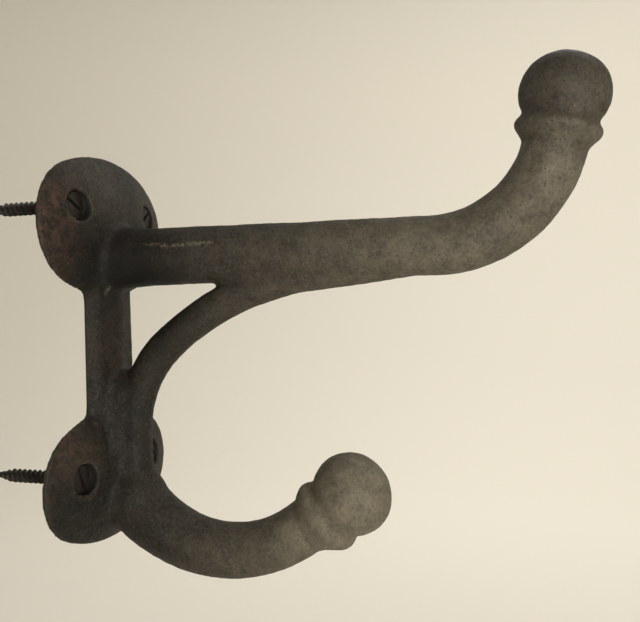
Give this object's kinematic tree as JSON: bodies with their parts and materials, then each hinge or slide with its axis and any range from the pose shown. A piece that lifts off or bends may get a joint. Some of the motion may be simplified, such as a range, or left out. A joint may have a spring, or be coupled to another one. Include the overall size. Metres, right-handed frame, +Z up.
{
  "type": "double wall hook",
  "caption": "Cast-iron double wall hook on domed oval plates, with a long upper arm and a short lower arm that end in balls, and slotted screws.",
  "frame": {"origin": "middle of the four screws, on the wall plane", "axes": "+Z up, +X along the wall to the right as seen from the front, +Y into the wall; the hook stands out to -Y"},
  "size_m": [0.0674, 0.1801, 0.1474],
  "materials": {
    "cast_iron": "rough sand-cast, dark, dusty, with rust stains",
    "screw_steel": "blackened steel, satin"
  },
  "bodies": {
    "root": {"hook_casting": "cast_iron", "upper_left_screw": "screw_steel", "upper_right_screw": "screw_steel", "lower_left_screw": "screw_steel", "lower_right_screw": "screw_steel"}
  },
  "joints": []
}
